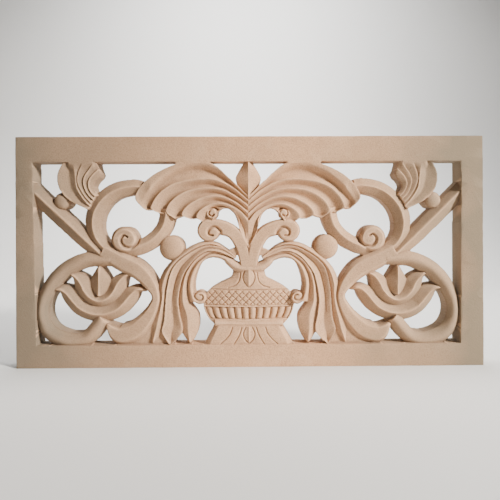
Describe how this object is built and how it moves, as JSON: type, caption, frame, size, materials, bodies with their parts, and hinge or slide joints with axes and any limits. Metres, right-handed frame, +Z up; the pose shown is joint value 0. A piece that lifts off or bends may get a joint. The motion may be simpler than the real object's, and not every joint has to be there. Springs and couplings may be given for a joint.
{
  "type": "carved sandstone jali screen",
  "caption": "Pierced sandstone panel carved from one slab: a pot with arching fronds and drooping leaves between scrolls, rings and lotus flowers, in a plain flat frame.",
  "frame": {"origin": "middle of the slab's bottom edge, halfway through its thickness, on the surface it stands on", "axes": "+X along the panel to the right as seen from the carved face, +Y from the carved face to the back, +Z up"},
  "size_m": [1.22, 0.05, 0.602],
  "materials": {
    "sandstone": "matte"
  },
  "bodies": {
    "root": {"jali_screen": "sandstone"}
  },
  "joints": []
}
